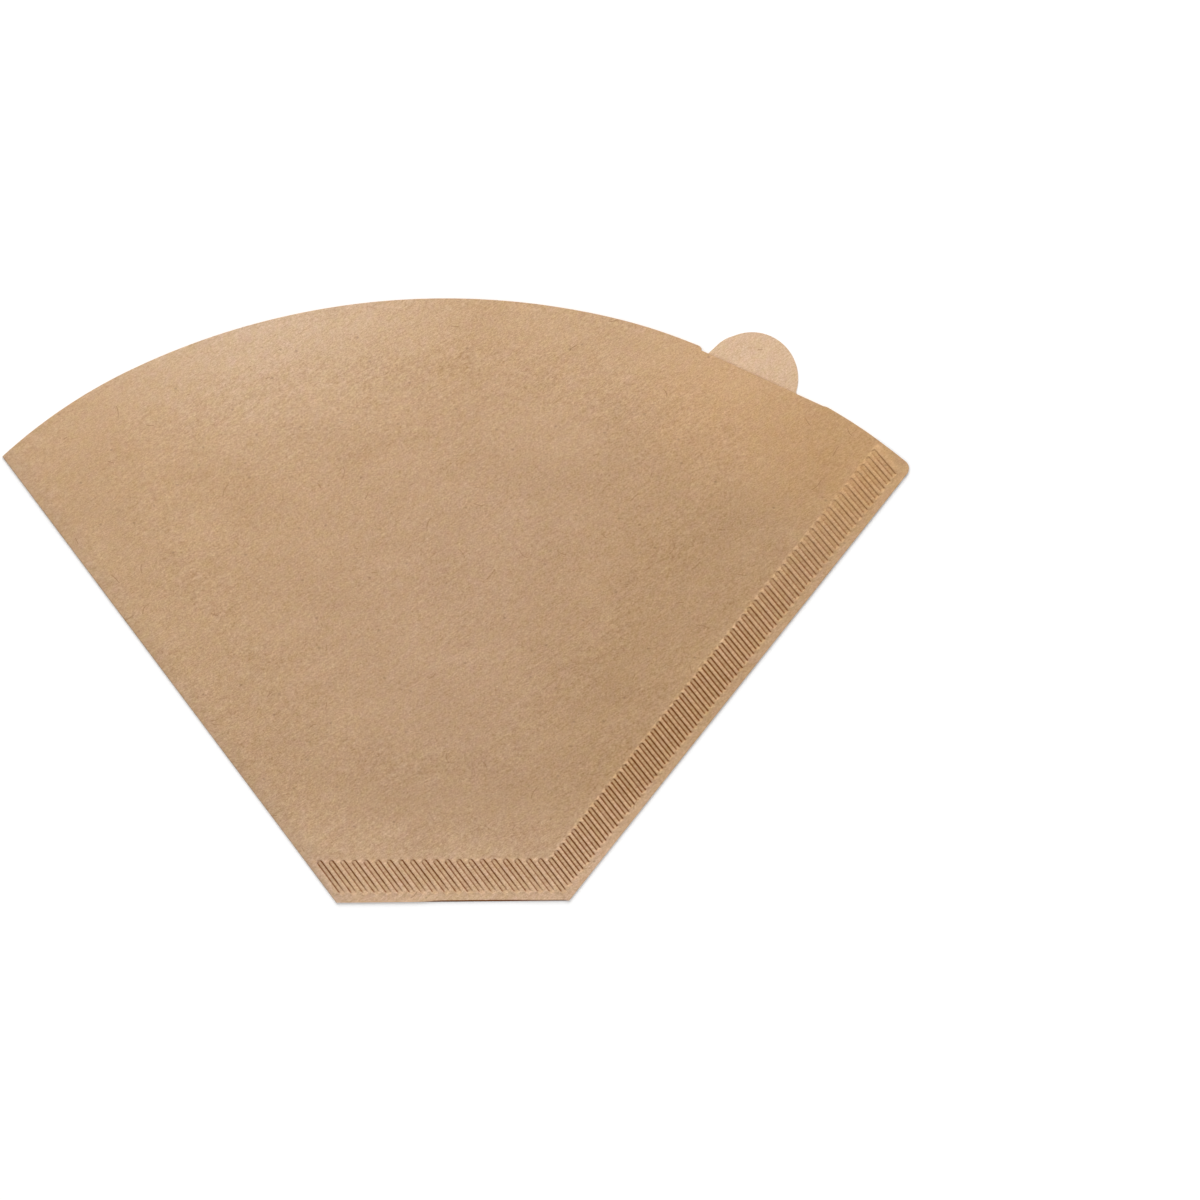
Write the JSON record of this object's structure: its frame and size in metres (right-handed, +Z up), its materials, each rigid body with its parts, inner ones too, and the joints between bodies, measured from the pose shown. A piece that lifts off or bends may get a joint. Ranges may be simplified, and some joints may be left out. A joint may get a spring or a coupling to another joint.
{
  "type": "paper coffee filter",
  "caption": "Folded cone filter of brown paper for drip coffee, closed by a crimped seam along two sides, open at its curved mouth, with a round pull tab.",
  "frame": {"origin": "under the middle of the filter's box, on the plane that the back leaf lies on", "axes": "+X across the filter towards the crimped side seam, +Y from the bottom seam to the curved mouth, +Z up from the back leaf to the front leaf"},
  "size_m": [0.2024, 0.1348, 0.002],
  "materials": {
    "kraft_paper": "matt unbleached paper with fine brushed fibres"
  },
  "bodies": {
    "root": {"filter": "kraft_paper"}
  },
  "joints": []
}
